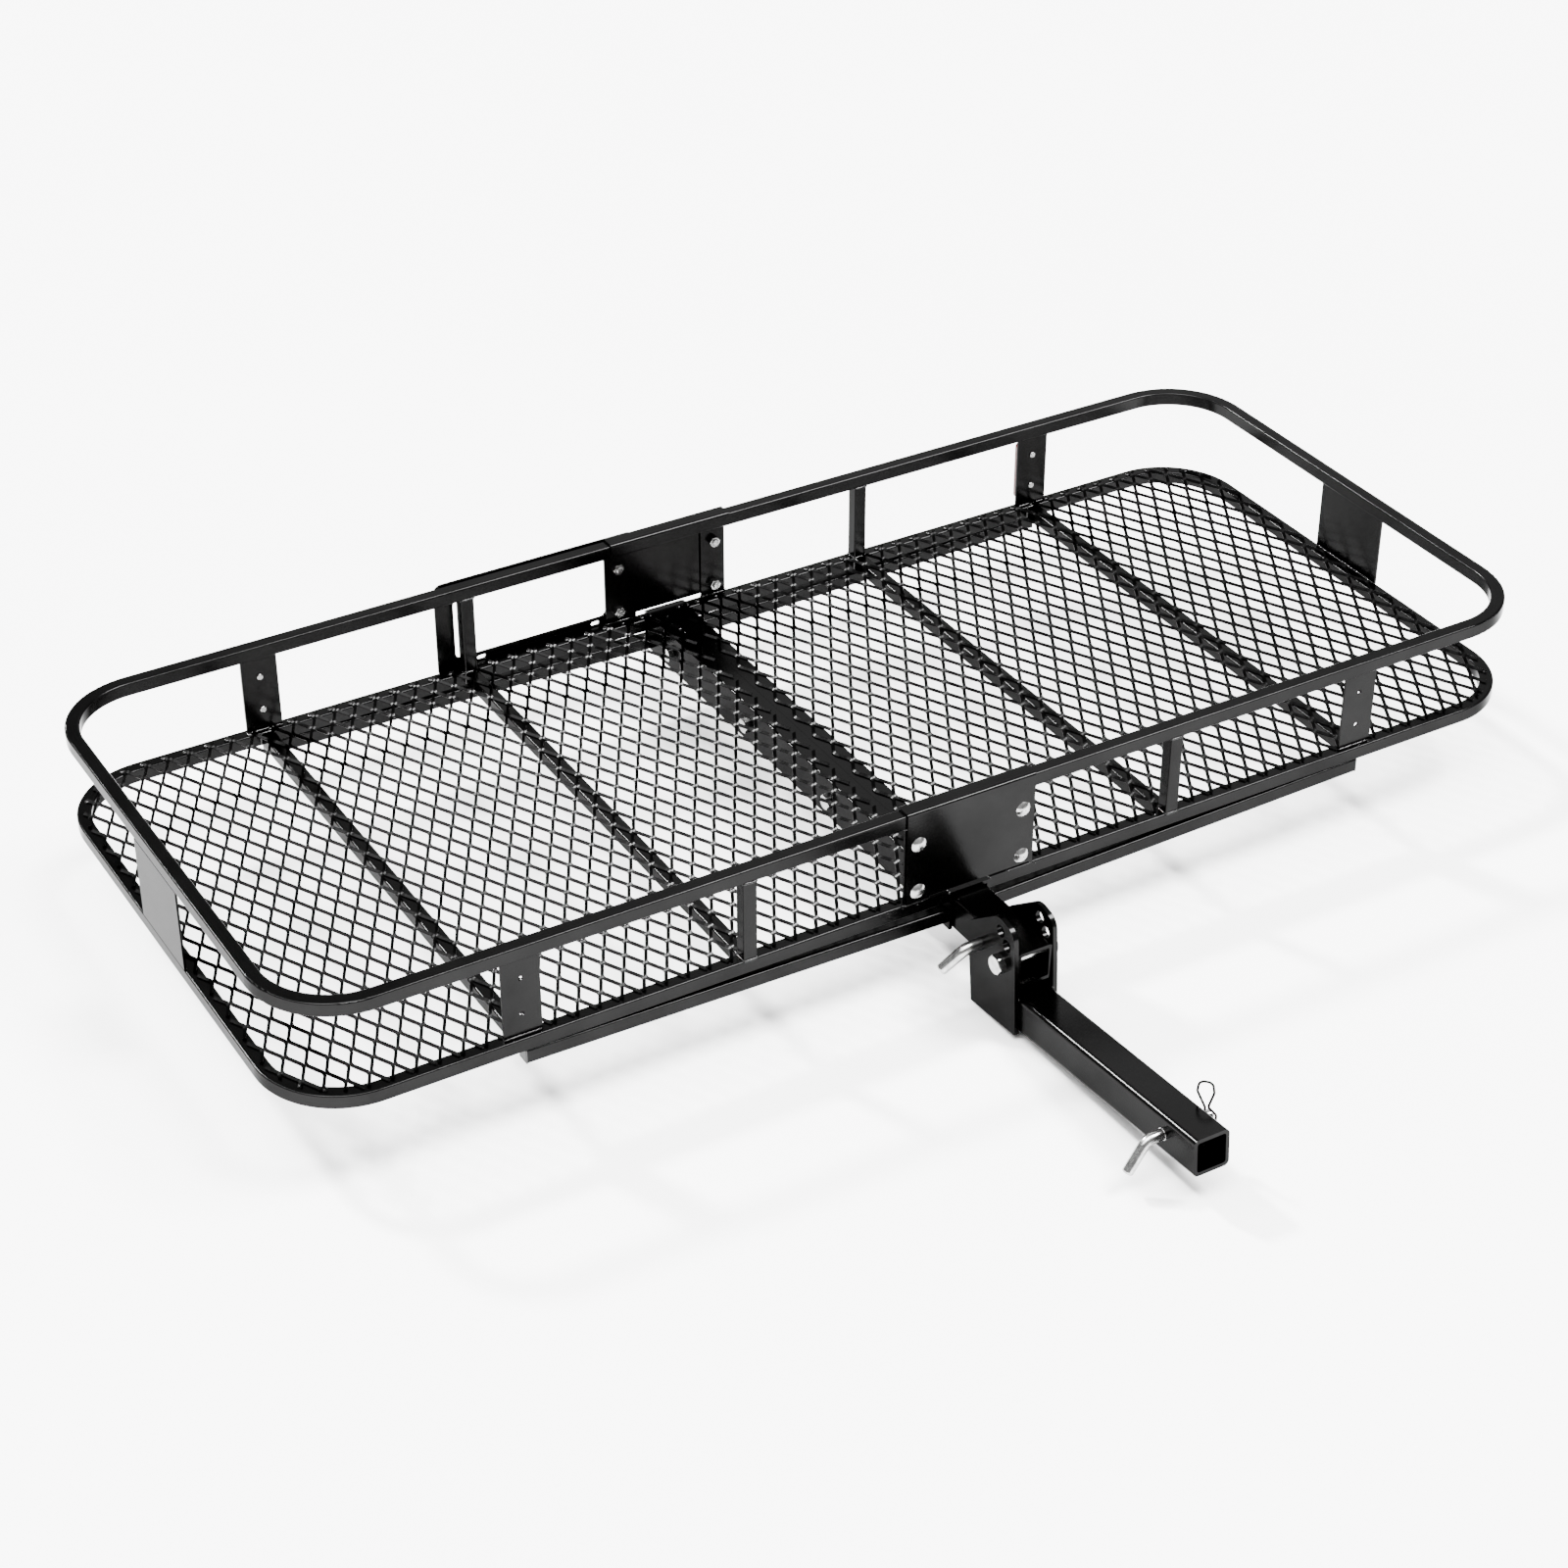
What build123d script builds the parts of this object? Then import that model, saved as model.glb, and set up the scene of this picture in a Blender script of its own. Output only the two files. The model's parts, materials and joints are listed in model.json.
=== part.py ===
from build123d import *
import math
import os

# Hitch cargo carrier with a folding beam and a 2 inch receiver shank.
# The pieces are drawn in a basket frame: x = y = 0 in the middle of the basket, z = 0 under the
# bottom rails, +X to the right along the long side, -Y toward the vehicle. Every node is then
# moved so that the origin is the middle of the receiver pin's hole in the shank.

INCH = 25.4

# Basket
LENGTH = 72 * INCH
DEPTH = 790.0
HEIGHT = 6 * INCH
RAIL = 0.75 * INCH
RAIL_WALL = 1.6
RAIL_CORNER = 2.2
PLAN_CORNER = 4.5 * INCH
HALF_LENGTH = LENGTH / 2
HALF_DEPTH = DEPTH / 2
RAIL_MID = HALF_DEPTH - RAIL / 2
RAIL_INNER = HALF_DEPTH - RAIL
TOP_RAIL_LOW = HEIGHT - RAIL
UPRIGHT_MID = HEIGHT / 2

# Centre structure: two angles that straddle the folding beam
ANGLE = 3 / 16 * INCH
ANGLE_OUTER = 30.2
ANGLE_SEAM = 0.15
ANGLE_LOW = -38.0
ANGLE_PAST = 5.0
BEAM = 2 * INCH
BEAM_SIDE_GAP = 0.15
BEAM_WALL = 4.5
BEAM_CORNER = 5.0
BEAM_INNER_CORNER = 2.5
BEAM_MID_Z = -12.4
BEAM_FRONT = -546.0
CENTRE_BOLT_Y = (-324.0, -108.0, 108.0, 324.0)
CENTRE_BOLT_R = 0.25 * INCH
CENTRE_BOLT_AF = 0.75 * INCH
CENTRE_HEAD = 8.0
CENTRE_NUT = 11.0
CENTRE_PAST_NUT = 3.0
HOLE_GAP = 0.4
ANGLE_BEND = 1.9

# Floor members and uprights
CROSS_X = (314.0, 618.0)
PLATE_X = 618.0
PLATE_WIDTH = 2 * INCH
PLATE = 3.0
PLATE_HOLE_R = 3.3
PLATE_HOLE_SPACING = 2 * INCH
NARROW_X = 314.0
END_PLATE_WIDTH = 5.25 * INCH
PLUG_CAP = 2.0
PLUG_DEPTH = 9.0
PLUG_GAP = 0.1
PLUG_STEM_GAP = 0.4
UNDER_RAIL_DROP = 12.0

# Splice at the middle of the front and rear sides
SPLICE_X = 76.8
SPLICE_WIDTH = 1.5 * INCH
BRACKET_HALF = 93.75
BRACKET = 3.0
BRACKET_LOW = 24.0
BRACKET_LIP = 13.0
BRACKET_BEND = 3.5
BOLT_X = 77.0
BOLT_Z = (37.0, 107.0)
BOLT_R = 3 / 16 * INCH
BOLT_CLEARANCE_R = 5.2
DOME_R = 10.75
DOME_HEIGHT = 5.3
NECK_DEPTH = 2.8
NUT_AF = 9 / 16 * INCH
NUT_HEIGHT = 8.3
BOLT_PAST_NUT = 3.0

# Licence plate bracket on the rear side
LICENCE = 2.5
LICENCE_X = (-354.0, -45.0)
LICENCE_Z = (6.5, 153.5)
LICENCE_CORNER = 12.0
LICENCE_OPEN_X = (-327.0, -93.0)
LICENCE_OPEN_Z = (31.0, 124.0)
LICENCE_OPEN_CORNER = 9.0
LICENCE_MID_X = -199.4
SLOT_SPACING_X = 7 * INCH
SLOT_SPACING_Z = 4.75 * INCH
SLOT_LOW_Z = 23.0
SLOT_LENGTH = 13.3
SLOT_HALF_WIDTH = 3.3

# Rear reflectors
REFLECTOR_WIDTH = 46.0
REFLECTOR_HEIGHT = 92.0
REFLECTOR_CORNER = 7.0
REFLECTOR_BASE = 3.5
REFLECTOR_LENS = 7.0
LENS_EDGE = 3.0
SCREW_R = 2.0
SCREW_HEAD_R = 4.6
SCREW_HEAD = 2.6

# Expanded metal floor
MESH_LOW = RAIL + 0.1
MESH_THICK = 2.3
MESH_SHORT = 30.0
MESH_LONG = 51.0
STRAND = 3.6
MESH_BORDER = 2.0
MESH_LEFT_END = -12.0
MESH_RIGHT_END = 8.0
MESH_NOTCH = 0.5
MESH_AT = (21.8, -6.0)

# Shank, clevis plates and pins
PIN_Y = -849.5
PIN_Z = -50.0
PITCH = 4.75
SHANK = 2 * INCH
SHANK_WALL = 5.0
SHANK_CORNER = 7.0
SHANK_INNER_CORNER = 3.5
SHANK_FRONT = 61.7
SHANK_REAR = 395.0
CLEVIS = 0.25 * INCH
CLEVIS_INNER = SHANK / 2
CLEVIS_OUTLINE = (
    (-443.5, 4.5), (-509.0, 53.0), (-544.0, 45.0), (-549.0, -12.0), (-554.8, -101.7), (-456.5, -110.0)
)
CLEVIS_CORNERS = (10.0, 26.0, 20.0, 0.0, 1.5, 1.5)
HINGE_Y = -519.0
HINGE_Z = -12.6
HINGE_R = 0.3125 * INCH
HINGE_FIT = 0.05
HINGE_AF = 0.9375 * INCH
HINGE_HEAD = 10.5
HINGE_NUT = 13.5
HINGE_PAST_NUT = 4.0
LOCK_RADIUS = 46.0
LOCK_SLOT_PAST = 25.0
LOCK_SLOT_STEPS = 10
FOLD_UP = 90 - PITCH
SPARE_HOLE_Y = -529.5
SPARE_HOLE_Z = 19.4
LOCK_PIN_R = 0.3125 * INCH
PIN_HOLE_R = 8.35
LOCK_STRAIGHT = 23.0
LOCK_HANDLE = 42.0
LOCK_TURN = 22.0
RECEIVER_STRAIGHT = 21.6
RECEIVER_HANDLE = 45.7
RECEIVER_HANDLE_R = 7.2
RECEIVER_TURN = -7.0
HANDLE_BEND = 50.0
HANDLE_BEND_R = 17.0
PIN_END_CHAMFER = 2.0
RECEIVER_PIN_END = 45.0
LOCK_PIN_END = 42.0
CLIP_X = 35.0
CLIP_R = 1.5
CLIP_HOLE_R = 1.8
CLIP_TURN = -45.0
CLIP_POINTS = (
    (0.0, -18.0), (0.0, 15.5), (-10.5, 38.0), (-9.0, 53.0), (7.0, 53.0), (9.5, 38.0),
    (3.8, 16.0), (13.8, 6.0), (13.8, -8.0), (16.5, -16.0)
)
CLIP_BENDS = (8.0, 7.5, 7.5, 7.5, 7.5, 4.5, 5.0, 5.0)

nodes = {}


def block(x0, x1, y0, y1, z0, z1):
    """Box between two opposite corners."""
    middle = Pos((x0 + x1) / 2, (y0 + y1) / 2, (z0 + z1) / 2)
    return middle * Box(x1 - x0, y1 - y0, z1 - z0)


def prism_x(sketch, x0, x1, y=0.0, z=0.0):
    """Extrude a sketch drawn in (Y, Z) from x0 to x1."""
    plane = Plane(origin=(x0, y, z), x_dir=(0, 1, 0), z_dir=(1, 0, 0))
    return plane * extrude(sketch, x1 - x0)


def prism_y(sketch, y0, y1, x=0.0, z=0.0):
    """Extrude a sketch drawn in (X, Z) from y0 to y1."""
    plane = Plane(origin=(x, y1, z), x_dir=(1, 0, 0), z_dir=(0, -1, 0))
    return plane * extrude(sketch, y1 - y0)


def hexagon(across_flats):
    return RegularPolygon(radius=across_flats / 2, side_count=6, major_radius=False)


def tube(x0, x1, y0, y1, z0, z1, axis, wall, corner, inner_corner=0.0):
    """Square tube between two opposite corners, open at both ends along its axis."""
    outer = block(x0, x1, y0, y1, z0, z1)
    outer = fillet(outer.edges().filter_by(axis), corner)
    past = 1.0
    shrink_x = -past if axis == Axis.X else wall
    shrink_y = -past if axis == Axis.Y else wall
    shrink_z = -past if axis == Axis.Z else wall
    hollow = block(
        x0 + shrink_x, x1 - shrink_x, y0 + shrink_y, y1 - shrink_y, z0 + shrink_z, z1 - shrink_z
    )
    if inner_corner:
        hollow = fillet(hollow.edges().filter_by(axis), inner_corner)
    return outer - hollow


def rear_of(part):
    """The same piece on the other long side."""
    return mirror(part, about=Plane.XZ)


def right_of(part):
    """The same piece on the other end."""
    return mirror(part, about=Plane.YZ)


# ---- Rails ----

def ring(z_low, height, inset):
    """Rounded rectangular ring, inset from the rail's own faces."""
    outside = RectangleRounded(LENGTH - 2 * inset, DEPTH - 2 * inset, PLAN_CORNER - inset)
    reach = RAIL - inset
    inside = RectangleRounded(LENGTH - 2 * reach, DEPTH - 2 * reach, PLAN_CORNER - reach)
    return Pos(0, 0, z_low) * extrude(outside - inside, height)


def left_rail(z_low, x_end):
    """U-shaped half of a rail, from the middle round the left end and back."""
    solid = ring(z_low, RAIL, 0)
    by_height = solid.edges().group_by(Axis.Z)
    solid = fillet(by_height[0] + by_height[-1], RAIL_CORNER)
    solid = solid - ring(z_low + RAIL_WALL, RAIL - 2 * RAIL_WALL, RAIL_WALL)
    return solid & block(-LENGTH, x_end, -DEPTH, DEPTH, z_low - 1, z_low + RAIL + 1)


def rails():
    bottom = left_rail(0, -ANGLE_OUTER)
    top = left_rail(TOP_RAIL_LOW, -ANGLE_SEAM)
    nodes["bottom_rail_left"] = bottom
    nodes["bottom_rail_right"] = right_of(bottom)
    nodes["top_rail_left"] = top
    nodes["top_rail_right"] = right_of(top)


def under_rails():
    """Short rails below the bottom rail, sloping down from the outer cross members to the angles."""
    span = PLATE_X - ANGLE_OUTER
    slope = math.degrees(math.atan(UNDER_RAIL_DROP / span))
    front = tube(
        -RAIL, span + RAIL, -HALF_DEPTH, -RAIL_INNER, -RAIL, 0, Axis.X, RAIL_WALL, RAIL_CORNER
    )
    front = Pos(-PLATE_X, 0, 0) * Rot(0, slope, 0) * front
    front = front & block(-PLATE_X, -ANGLE_OUTER, -DEPTH, DEPTH, -HEIGHT, HEIGHT)
    plug_cap = block(
        -PLATE_X - PLUG_CAP, -PLATE_X, -HALF_DEPTH + PLUG_GAP, -RAIL_INNER - PLUG_GAP,
        -RAIL + PLUG_GAP, -PLUG_GAP
    )
    plug_cap = fillet(plug_cap.faces().sort_by(Axis.X)[0].edges(), PLUG_CAP * 0.6)
    inner = RAIL / 2 - RAIL_WALL - PLUG_STEM_GAP
    stem = block(
        -PLATE_X, -PLATE_X + PLUG_DEPTH, -RAIL_MID - inner, -RAIL_MID + inner,
        -RAIL / 2 - inner, -RAIL / 2 + inner
    )
    plug = plug_cap + stem
    nodes["under_rail_front_left"] = front
    nodes["under_rail_front_right"] = right_of(front)
    nodes["under_rail_rear_left"] = rear_of(front)
    nodes["under_rail_rear_right"] = right_of(rear_of(front))
    nodes["under_rail_plugs"] = [plug, right_of(plug), rear_of(plug), right_of(rear_of(plug))]


def cross_members():
    names = ("inner", "outer")
    for name, x in zip(names, CROSS_X):
        left = tube(
            -x - RAIL / 2, -x + RAIL / 2, -RAIL_INNER, RAIL_INNER, 0, RAIL,
            Axis.Y, RAIL_WALL, RAIL_CORNER
        )
        nodes[f"cross_member_{name}_left"] = left
        nodes[f"cross_member_{name}_right"] = right_of(left)


# ---- Centre structure ----

def centre_angle_left():
    end = HALF_DEPTH + ANGLE_PAST
    top = block(-ANGLE_OUTER, -ANGLE_SEAM, -end, end, RAIL - ANGLE, RAIL)
    side = block(-ANGLE_OUTER, -ANGLE_OUTER + ANGLE, -end, end, ANGLE_LOW, RAIL)
    angle = top + side
    outer_corner = angle.edges().filter_by(Axis.Y).group_by(Axis.X)[0].sort_by(Axis.Z)[-1]
    angle = fillet(outer_corner, ANGLE_BEND)
    for y in CENTRE_BOLT_Y:
        hole = prism_x(Circle(CENTRE_BOLT_R + HOLE_GAP), -ANGLE_OUTER - 1, 0, y, BEAM_MID_Z)
        angle = angle - hole
    return angle


def lock_slot():
    """Arc slot about the hinge: the pin's hole, and the way out below as the beam turns."""
    leave = math.degrees(math.asin(BEAM / 2 / LOCK_RADIUS)) + LOCK_SLOT_PAST
    middle = (HINGE_Y, HINGE_Z)
    inner = []
    outer = []
    for step in range(LOCK_SLOT_STEPS + 1):
        angle = -math.radians(leave * step / LOCK_SLOT_STEPS)
        for points, radius in ((inner, LOCK_RADIUS - PIN_HOLE_R), (outer, LOCK_RADIUS + PIN_HOLE_R)):
            points.append((middle[0] + radius * math.cos(angle), middle[1] + radius * math.sin(angle)))
    band = make_face(Polyline(*inner, *reversed(outer), close=True))
    return band + Pos(middle[0] + LOCK_RADIUS, middle[1]) * Circle(PIN_HOLE_R)


def folding_beam():
    half = BEAM / 2 - BEAM_SIDE_GAP
    beam = tube(
        -half, half, BEAM_FRONT, HALF_DEPTH, BEAM_MID_Z - BEAM / 2, BEAM_MID_Z + BEAM / 2,
        Axis.Y, BEAM_WALL, BEAM_CORNER, BEAM_INNER_CORNER
    )
    for y in CENTRE_BOLT_Y:
        beam = beam - prism_x(Circle(CENTRE_BOLT_R + HOLE_GAP), -BEAM, BEAM, y, BEAM_MID_Z)
    beam = beam - prism_x(Circle(HINGE_R + HINGE_FIT), -BEAM, BEAM, HINGE_Y, HINGE_Z)
    return beam - prism_x(lock_slot(), -BEAM, BEAM)


def hex_bolt(radius, across_flats, head, length):
    """Hex bolt with its head to +Z and its shank down from z = 0."""
    top = extrude(hexagon(across_flats), head)
    rounding = Pos(0, 0, head / 2) * Cylinder(across_flats * 0.56, head)
    rounding = chamfer(rounding.edges().sort_by(Axis.Z)[-1], head * 0.14)
    shank = Pos(0, 0, -length / 2) * Cylinder(radius, length)
    return (top & rounding) + chamfer(shank.edges().sort_by(Axis.Z)[0], radius * 0.15)


def hex_nut(radius, across_flats, height):
    """Hex nut standing on z = 0."""
    body = extrude(hexagon(across_flats), height)
    rounding = Pos(0, 0, height / 2) * Cylinder(across_flats * 0.56, height)
    rounding = chamfer(rounding.edges().sort_by(Axis.Z)[-1], height * 0.1)
    bore = Pos(0, 0, height / 2) * Cylinder(radius + HINGE_FIT, height * 2)
    return (body & rounding) - bore


def facing(point, direction):
    """Plane at a point whose +Z looks along direction and whose +Y is up where it can be."""
    return Plane(origin=point, x_dir=(direction[1], -direction[0], 0), z_dir=direction)


def centre_structure():
    angle = centre_angle_left()
    nodes["centre_angle_left"] = angle
    nodes["centre_angle_right"] = right_of(angle)
    nodes["folding_beam"] = folding_beam()
    grip = 2 * ANGLE_OUTER
    bolt = hex_bolt(CENTRE_BOLT_R, CENTRE_BOLT_AF, CENTRE_HEAD, grip + CENTRE_NUT + CENTRE_PAST_NUT)
    nut = hex_nut(CENTRE_BOLT_R, CENTRE_BOLT_AF, CENTRE_NUT)
    bolts = []
    nuts = []
    for y in CENTRE_BOLT_Y:
        bolts.append(facing((-ANGLE_OUTER, y, BEAM_MID_Z), (-1, 0, 0)) * bolt)
        nuts.append(facing((ANGLE_OUTER, y, BEAM_MID_Z), (1, 0, 0)) * nut)
    nodes["centre_bolts"] = bolts
    nodes["centre_nuts"] = nuts


# ---- Uprights ----

def plate_upright():
    """Wide flat upright on the front left, with its two light holes."""
    plate = block(
        -PLATE_X - PLATE_WIDTH / 2, -PLATE_X + PLATE_WIDTH / 2, -RAIL_MID - PLATE / 2,
        -RAIL_MID + PLATE / 2, RAIL, TOP_RAIL_LOW
    )
    for z in (UPRIGHT_MID - PLATE_HOLE_SPACING / 2, UPRIGHT_MID + PLATE_HOLE_SPACING / 2):
        plate = plate - prism_y(Circle(PLATE_HOLE_R), -HALF_DEPTH, -RAIL_INNER, -PLATE_X, z)
    return plate


def four_corners(base, part):
    """A piece drawn on the front left, and its copies at the other three places."""
    nodes[f"{base}_front_left"] = part
    nodes[f"{base}_front_right"] = right_of(part)
    nodes[f"{base}_rear_left"] = rear_of(part)
    nodes[f"{base}_rear_right"] = right_of(rear_of(part))


def uprights():
    four_corners("plate_upright", plate_upright())
    narrow = tube(
        -NARROW_X - RAIL / 2, -NARROW_X + RAIL / 2, -HALF_DEPTH, -RAIL_INNER, RAIL, TOP_RAIL_LOW,
        Axis.Z, RAIL_WALL, RAIL_CORNER
    )
    four_corners("narrow_upright", narrow)
    end_plate = block(
        -HALF_LENGTH, -HALF_LENGTH + PLATE, -END_PLATE_WIDTH / 2, END_PLATE_WIDTH / 2,
        RAIL, TOP_RAIL_LOW
    )
    nodes["end_plate_left"] = end_plate
    nodes["end_plate_right"] = right_of(end_plate)


# ---- Splices ----

def splice_end_plate():
    plate = block(
        -SPLICE_X - SPLICE_WIDTH / 2, -SPLICE_X + SPLICE_WIDTH / 2, -HALF_DEPTH,
        -HALF_DEPTH + PLATE, RAIL, TOP_RAIL_LOW
    )
    for z in BOLT_Z:
        plate = plate - prism_y(Circle(BOLT_CLEARANCE_R), -HALF_DEPTH - 1, -RAIL_INNER, -BOLT_X, z)
    return plate


def splice_bracket():
    """Plate over the joint of the two halves, bent over the top rail with a short inner lip."""
    face = -HALF_DEPTH
    inner = -RAIL_INNER
    outline = Polyline(
        (face - BRACKET, BRACKET_LOW), (face - BRACKET, HEIGHT + BRACKET),
        (inner + BRACKET, HEIGHT + BRACKET), (inner + BRACKET, HEIGHT - BRACKET_LIP),
        (inner, HEIGHT - BRACKET_LIP), (inner, HEIGHT), (face, HEIGHT), (face, BRACKET_LOW),
        close=True
    )
    section = make_face(outline)
    outer_bends = section.vertices().group_by(Axis.Y)[-1]
    section = fillet(outer_bends, BRACKET_BEND)
    bracket = prism_x(section, -BRACKET_HALF, BRACKET_HALF)
    square = 2 * BOLT_R + HOLE_GAP
    for x in (-BOLT_X, BOLT_X):
        for z in BOLT_Z:
            bracket = bracket - prism_y(Rectangle(square, square), face - BRACKET - 1, face + 1, x, z)
    return bracket


def carriage_bolt(grip):
    """Round-headed bolt with its dome to +Z, a square neck and a shank for the given grip."""
    sphere_r = (DOME_R ** 2 + DOME_HEIGHT ** 2) / (2 * DOME_HEIGHT)
    dome = Pos(0, 0, DOME_HEIGHT - sphere_r) * Sphere(sphere_r)
    dome = dome & Pos(0, 0, DOME_HEIGHT) * Box(4 * DOME_R, 4 * DOME_R, 2 * DOME_HEIGHT)
    neck = Pos(0, 0, -NECK_DEPTH / 2) * Box(2 * BOLT_R, 2 * BOLT_R, NECK_DEPTH)
    length = grip + NUT_HEIGHT + BOLT_PAST_NUT
    shank = Pos(0, 0, -length / 2) * Cylinder(BOLT_R, length)
    return dome + neck + chamfer(shank.edges().sort_by(Axis.Z)[0], BOLT_R * 0.2)


def splices():
    four_corners("splice_end_plate", splice_end_plate())
    bracket = splice_bracket()
    nodes["splice_bracket_front"] = bracket
    nodes["splice_bracket_rear"] = rear_of(bracket)
    grip = BRACKET + PLATE
    short = carriage_bolt(grip)
    long = carriage_bolt(grip + LICENCE)
    nut = hex_nut(BOLT_R, NUT_AF, NUT_HEIGHT)
    outside = HALF_DEPTH + BRACKET
    inside = HALF_DEPTH - PLATE
    short_bolts = []
    long_bolts = []
    nuts = []
    for x in (-BOLT_X, BOLT_X):
        for z in BOLT_Z:
            short_bolts.append(facing((x, -outside, z), (0, -1, 0)) * short)
            nuts.append(facing((x, -inside, z), (0, 1, 0)) * nut)
            nuts.append(facing((x, inside, z), (0, -1, 0)) * nut)
            if x > 0:
                short_bolts.append(facing((x, outside, z), (0, 1, 0)) * short)
            else:
                long_bolts.append(facing((x, outside + LICENCE, z), (0, 1, 0)) * long)
    nodes["splice_bolts"] = short_bolts
    nodes["licence_bracket_bolts"] = long_bolts
    nodes["splice_nuts"] = nuts


# ---- Licence bracket and reflectors ----

def licence_bracket():
    width = LICENCE_X[1] - LICENCE_X[0]
    height = LICENCE_Z[1] - LICENCE_Z[0]
    middle = Pos(sum(LICENCE_X) / 2, sum(LICENCE_Z) / 2)
    plate = middle * RectangleRounded(width, height, LICENCE_CORNER)
    open_width = LICENCE_OPEN_X[1] - LICENCE_OPEN_X[0]
    open_height = LICENCE_OPEN_Z[1] - LICENCE_OPEN_Z[0]
    open_middle = Pos(sum(LICENCE_OPEN_X) / 2, sum(LICENCE_OPEN_Z) / 2)
    plate = plate - open_middle * RectangleRounded(open_width, open_height, LICENCE_OPEN_CORNER)
    for side in (-0.5, 0.5):
        for z in (SLOT_LOW_Z, SLOT_LOW_Z + SLOT_SPACING_Z):
            x = LICENCE_MID_X + side * SLOT_SPACING_X
            plate = plate - Pos(x, z) * SlotOverall(SLOT_LENGTH, 2 * SLOT_HALF_WIDTH)
    square = 2 * BOLT_R + HOLE_GAP
    for z in BOLT_Z:
        plate = plate - Pos(-BOLT_X, z) * Rectangle(square, square)
    front = HALF_DEPTH + BRACKET
    return prism_y(plate, front, front + LICENCE)


def reflector_left():
    """Base, lens and the two screws of the left reflector."""
    outline = RectangleRounded(REFLECTOR_WIDTH, REFLECTOR_HEIGHT, REFLECTOR_CORNER)
    front = RAIL_MID + PLATE / 2
    base = prism_y(outline, front, front + REFLECTOR_BASE, -PLATE_X, UPRIGHT_MID)
    lens_low = front + REFLECTOR_BASE
    lens = prism_y(outline, lens_low, lens_low + REFLECTOR_LENS, -PLATE_X, UPRIGHT_MID)
    lens = fillet(lens.faces().sort_by(Axis.Y)[-1].edges(), LENS_EDGE)
    screws = []
    for z in (UPRIGHT_MID - PLATE_HOLE_SPACING / 2, UPRIGHT_MID + PLATE_HOLE_SPACING / 2):
        hole = prism_y(Circle(SCREW_R + HINGE_FIT), front - 1, lens_low, -PLATE_X, z)
        base = base - hole
        head = Pos(0, 0, SCREW_HEAD / 2) * Cylinder(SCREW_HEAD_R, SCREW_HEAD)
        head = fillet(head.edges().sort_by(Axis.Z)[-1], SCREW_HEAD * 0.7)
        shank_length = PLATE + REFLECTOR_BASE
        shank = Pos(0, 0, -shank_length / 2) * Cylinder(SCREW_R, shank_length)
        screws.append(facing((-PLATE_X, RAIL_MID - PLATE / 2, z), (0, -1, 0)) * (head + shank))
    return base, lens, screws


def rear_fittings():
    nodes["licence_bracket"] = licence_bracket()
    base, lens, screws = reflector_left()
    nodes["reflector_base_left"] = base
    nodes["reflector_base_right"] = right_of(base)
    nodes["reflector_lens_left"] = lens
    nodes["reflector_lens_right"] = right_of(lens)
    nodes["reflector_screws"] = screws + [right_of(screw) for screw in screws]


# ---- Expanded metal floor ----

def inside_floor(x, y, margin):
    """True where a point lies inside the rounded floor outline by the margin."""
    reach_x = HALF_LENGTH - RAIL / 2 - margin
    reach_y = RAIL_MID - margin
    radius = PLAN_CORNER - RAIL / 2 - margin
    over_x = max(0.0, abs(x) - (reach_x - radius))
    over_y = max(0.0, abs(y) - (reach_y - radius))
    return math.hypot(over_x, over_y) < radius if over_x and over_y else max(over_x, over_y) < radius


def upright_notches():
    """Half width along X, inner reach along Y and middle of each upright that the floor goes round."""
    plate = (PLATE_WIDTH / 2 + MESH_NOTCH, RAIL_MID - PLATE / 2 - MESH_NOTCH)
    narrow = (RAIL / 2 + MESH_NOTCH, RAIL_INNER - MESH_NOTCH)
    return [(PLATE_X, *plate), (NARROW_X, *narrow)]


def at_upright(x, y):
    """True where a point is too near an upright to be part of an opening."""
    for middle, half_width, reach in upright_notches():
        if abs(abs(x) - middle) < half_width + MESH_BORDER and abs(y) > reach - MESH_BORDER:
            return True
    return False


def mesh_opening(x, y):
    """Diamond left between four strands."""
    slope = math.hypot(MESH_SHORT / 2, MESH_LONG / 2)
    half_x = MESH_SHORT / 2 - STRAND / 2 * slope / (MESH_LONG / 2)
    half_y = MESH_LONG / 2 - STRAND / 2 * slope / (MESH_SHORT / 2)
    return [(x - half_x, y), (x, y - half_y), (x + half_x, y), (x, y + half_y)]


def mesh_panel(x_start, x_end):
    """Flat sheet with diamond openings, between two ends along X."""
    outer = make_face(
        RectangleRounded(LENGTH - RAIL, DEPTH - RAIL, PLAN_CORNER - RAIL / 2).edges()
    )
    strip = Pos((x_start + x_end) / 2, 0) * Rectangle(x_end - x_start, DEPTH)
    for middle, half_width, reach in upright_notches():
        for x in (-middle, middle):
            for y in (-DEPTH / 2, DEPTH / 2):
                notch = Rectangle(2 * half_width, 2 * (DEPTH / 2 - reach))
                outer = outer - Pos(x, y) * notch
    outline = (outer & strip).faces()[0]
    holes = []
    first = math.floor((x_start - MESH_AT[0]) / (MESH_SHORT / 2))
    last = math.ceil((x_end - MESH_AT[0]) / (MESH_SHORT / 2))
    rows = math.ceil(DEPTH / MESH_LONG) + 1
    for column in range(first, last + 1):
        x = MESH_AT[0] + column * MESH_SHORT / 2
        shift = MESH_AT[1] + (MESH_LONG / 2 if column % 2 else 0.0)
        for row in range(-rows, rows + 1):
            corners = mesh_opening(x, row * MESH_LONG + shift)
            clear = all(
                inside_floor(px, py, MESH_BORDER)
                and not at_upright(px, py)
                and x_start + MESH_BORDER < px < x_end - MESH_BORDER
                for px, py in corners
            )
            if clear:
                holes.append(Wire.make_polygon([(px, py, 0) for px, py in corners], close=True))
    face = Face(outline.outer_wire(), holes)
    return Pos(0, 0, MESH_LOW) * Solid.extrude(face, Vector(0, 0, MESH_THICK))


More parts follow.
